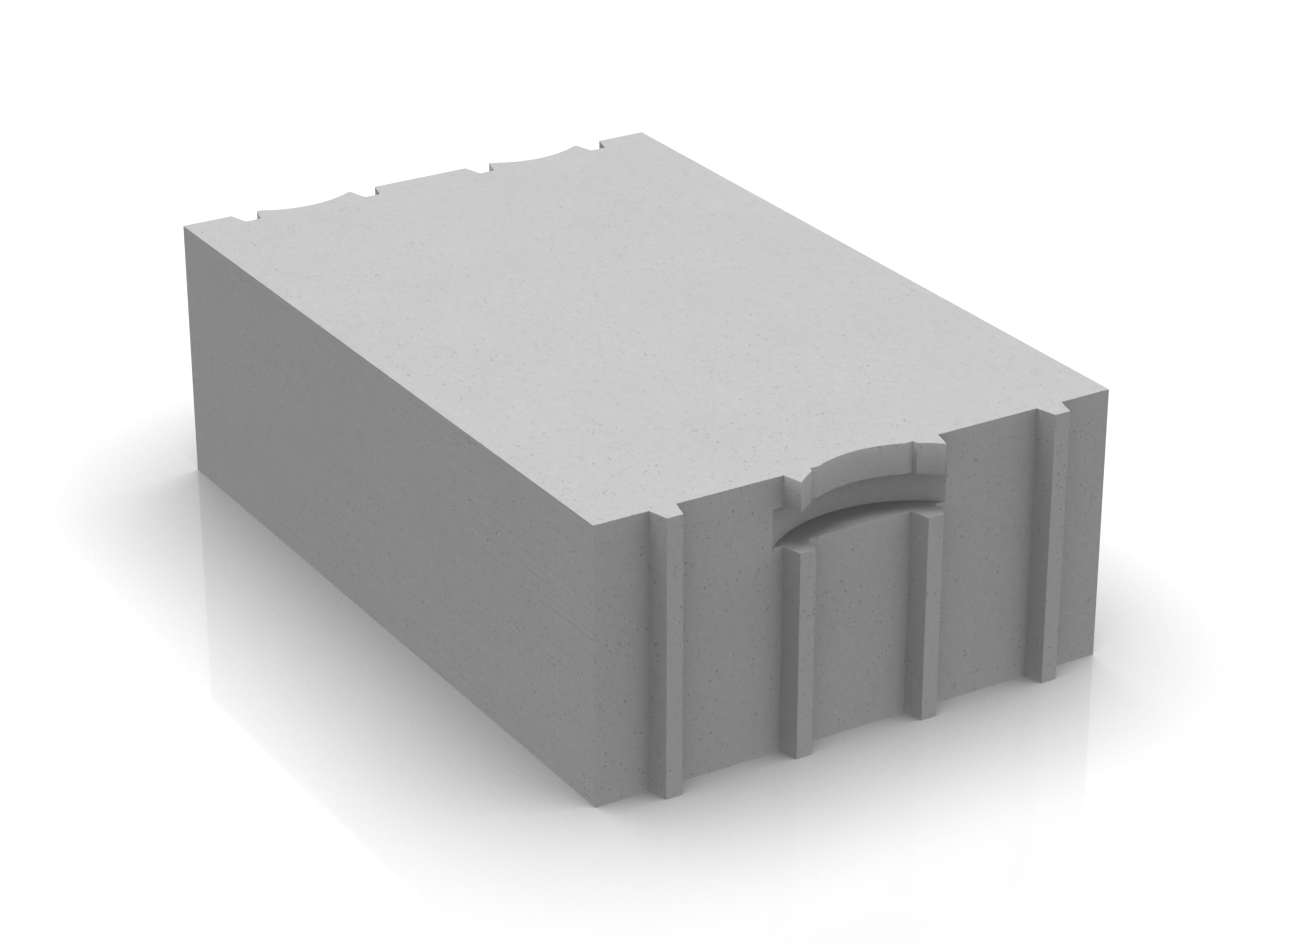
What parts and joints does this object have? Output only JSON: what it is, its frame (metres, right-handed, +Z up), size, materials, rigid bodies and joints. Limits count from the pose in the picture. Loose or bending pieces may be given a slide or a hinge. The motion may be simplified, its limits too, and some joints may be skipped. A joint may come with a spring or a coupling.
{
  "type": "aerated concrete block",
  "caption": "Autoclaved aerated concrete wall block with tapered tongues on one end, matching grooves on the other and undercut hand grips below the top bed.",
  "frame": {"origin": "centre of the body's bottom bed face, the tongues left out of the length", "axes": "+X along the length towards the tongue end, +Y across the width, +Z up"},
  "size_m": [0.615, 0.4, 0.2],
  "materials": {
    "aerated_concrete": "matte, sawn, with fine open pores"
  },
  "bodies": {
    "root": {"block": "aerated_concrete"}
  },
  "joints": []
}
